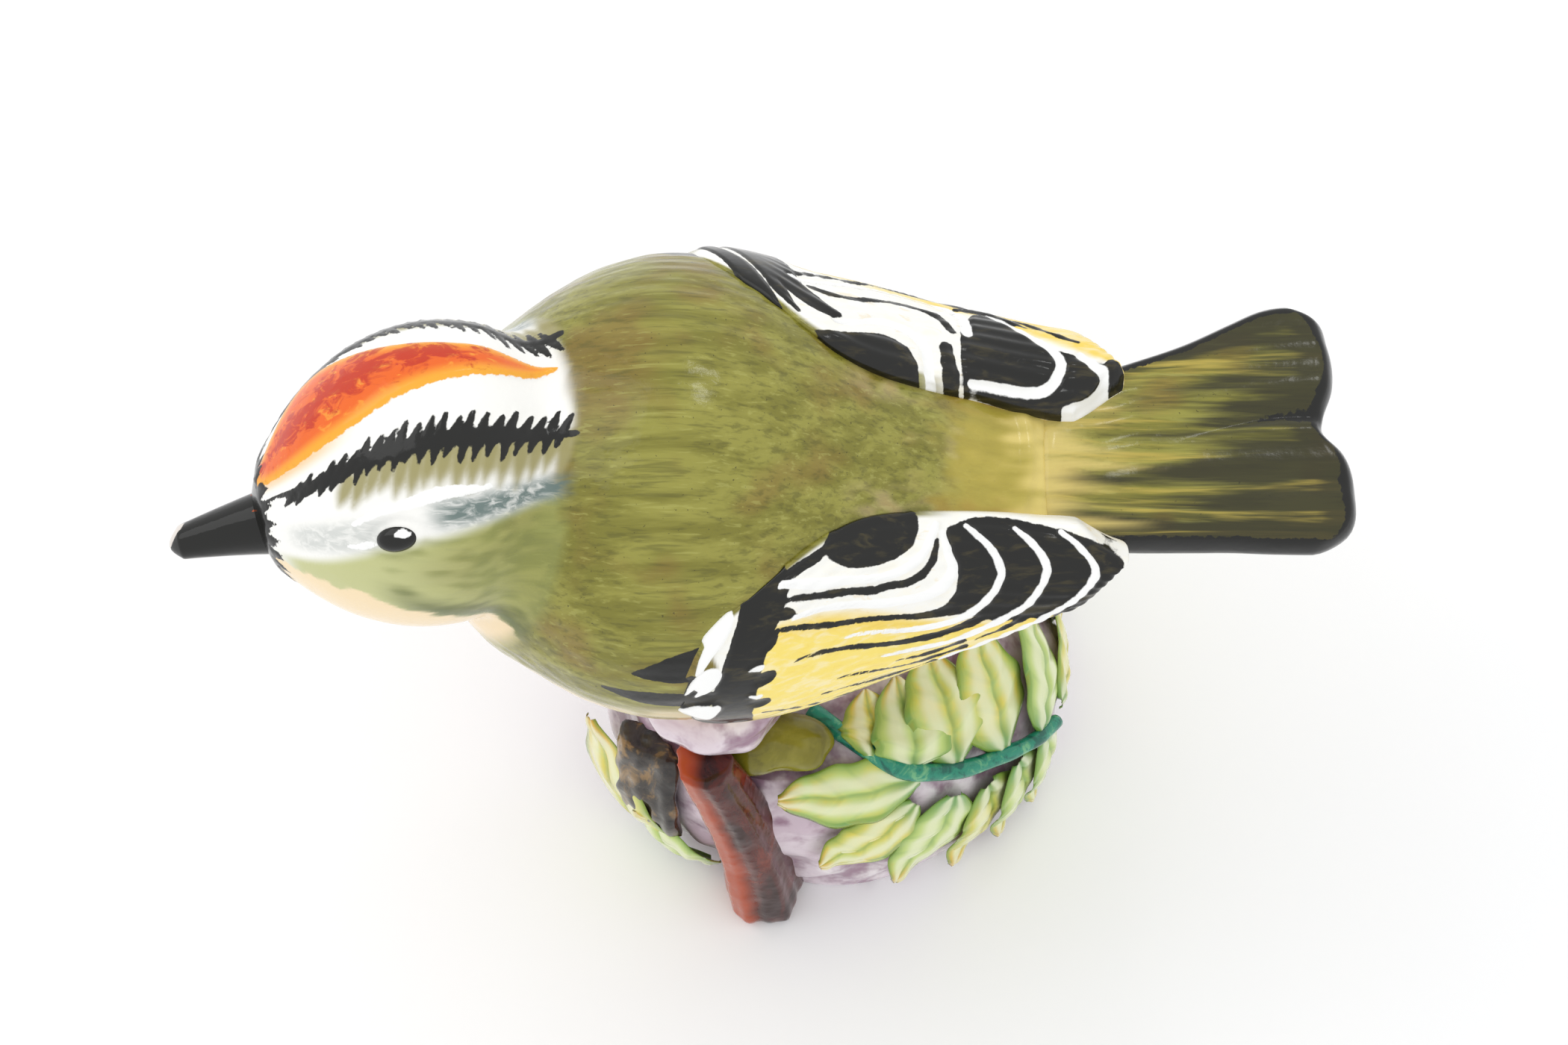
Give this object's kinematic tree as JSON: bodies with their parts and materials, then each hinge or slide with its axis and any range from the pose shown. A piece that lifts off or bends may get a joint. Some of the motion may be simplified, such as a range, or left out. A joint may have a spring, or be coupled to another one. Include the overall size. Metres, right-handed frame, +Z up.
{
  "type": "porcelain bird figurine",
  "caption": "Glossy hand-painted porcelain songbird with an orange crest, perched on a lilac rock base with a brown branch and green leaves.",
  "frame": {"origin": "centre of the flat underside of the base", "axes": "+Z up; the bird lies along X with its beak towards -X and its tail towards +X; its left side faces -Y"},
  "size_m": [0.0931, 0.0424, 0.069],
  "materials": {
    "lilac_glaze": "lilac glaze with painted purple modelling, high gloss",
    "olive_body_glaze": "olive-green brushed underglaze, high gloss",
    "head_glaze": "white and olive with orange crest and black stripes, high gloss",
    "black_glaze": "black glaze with a small white highlight, high gloss",
    "wing_glaze": "pale yellow with black feathers and white bars, high gloss",
    "tail_glaze": "olive streaks with a black rim, high gloss",
    "branch_glaze": "red-brown and maroon glaze, high gloss",
    "bark_glaze": "dark grey-brown glaze, high gloss",
    "moss_glaze": "olive glaze, satin gloss",
    "leg_glaze": "dark brown glaze, high gloss",
    "leaf_glaze": "pale green, yellow-green and teal glaze, high gloss",
    "stalk_glaze": "teal-green glaze, high gloss"
  },
  "bodies": {
    "root": {"base": "lilac_glaze", "rock_perch": "lilac_glaze", "branch": "branch_glaze", "bird_body": "olive_body_glaze", "bird_head": "head_glaze", "beak": "black_glaze", "left_eye": "black_glaze", "right_eye": "black_glaze", "left_wing": "wing_glaze", "right_wing": "wing_glaze", "tail": "tail_glaze", "left_leg": "leg_glaze", "right_leg": "leg_glaze", "left_foot": "leg_glaze", "right_foot": "leg_glaze", "bark_slab": "bark_glaze", "moss_cushion": "moss_glaze", "leaf_stalk": "stalk_glaze", "big_front_leaf": "leaf_glaze", "front_leaflet_1": "leaf_glaze", "front_leaflet_2": "leaf_glaze", "front_leaflet_3": "leaf_glaze", "front_leaflet_4": "leaf_glaze", "side_leaflet_1": "leaf_glaze", "side_leaflet_2": "leaf_glaze", "back_leaflet_1": "leaf_glaze", "back_leaflet_2": "leaf_glaze", "upper_leaflet_1": "leaf_glaze", "upper_leaflet_2": "leaf_glaze", "upper_leaflet_3": "leaf_glaze", "upper_leaflet_4": "leaf_glaze", "upper_leaflet_5": "leaf_glaze", "left_tall_leaf": "leaf_glaze", "left_low_leaf": "leaf_glaze", "rear_left_leaf": "leaf_glaze"}
  },
  "joints": []
}
